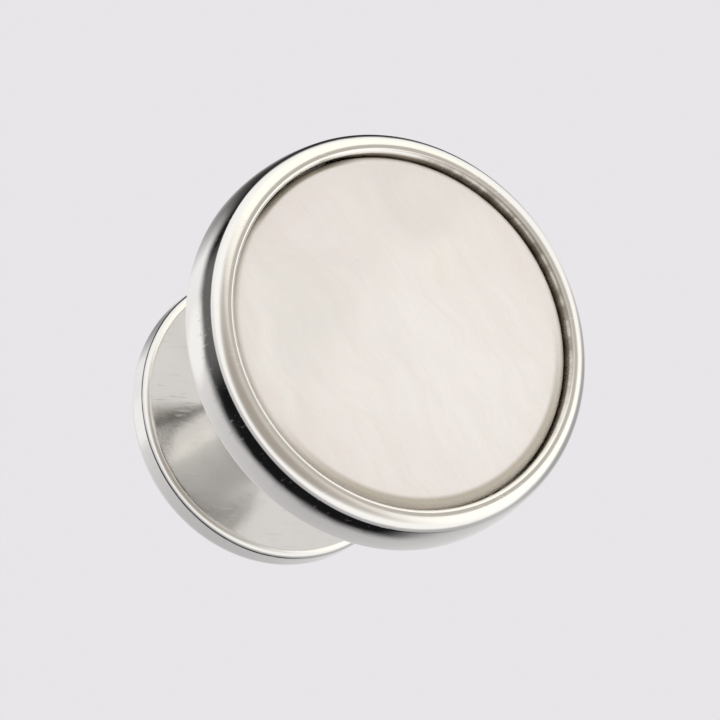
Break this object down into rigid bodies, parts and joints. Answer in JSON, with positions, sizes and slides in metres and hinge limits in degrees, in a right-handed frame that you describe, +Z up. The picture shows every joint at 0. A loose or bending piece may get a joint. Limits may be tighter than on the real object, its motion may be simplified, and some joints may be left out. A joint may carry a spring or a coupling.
{
  "type": "shirt stud",
  "caption": "Round dress-shirt stud: mother-of-pearl disc in a rounded polished silver-coloured rim, on a plain post with a smaller round back button.",
  "frame": {"origin": "on the stud's axis, midway along the grip between the cup's back and the back button, where the shirt holds it", "axes": "the stud's axis is along Y, its face looks towards -Y, its back button is towards +Y, and +Z is up as worn"},
  "size_m": [0.01, 0.0079, 0.01],
  "materials": {
    "setting_metal": "mirror-polished silver-coloured plate",
    "mother_of_pearl": "polished white mother-of-pearl, faintly clouded",
    "post_metal": "polished silver-coloured plate with fine turning marks"
  },
  "bodies": {
    "root": {"setting": "setting_metal", "inlay": "mother_of_pearl", "post": "post_metal"}
  },
  "joints": []
}
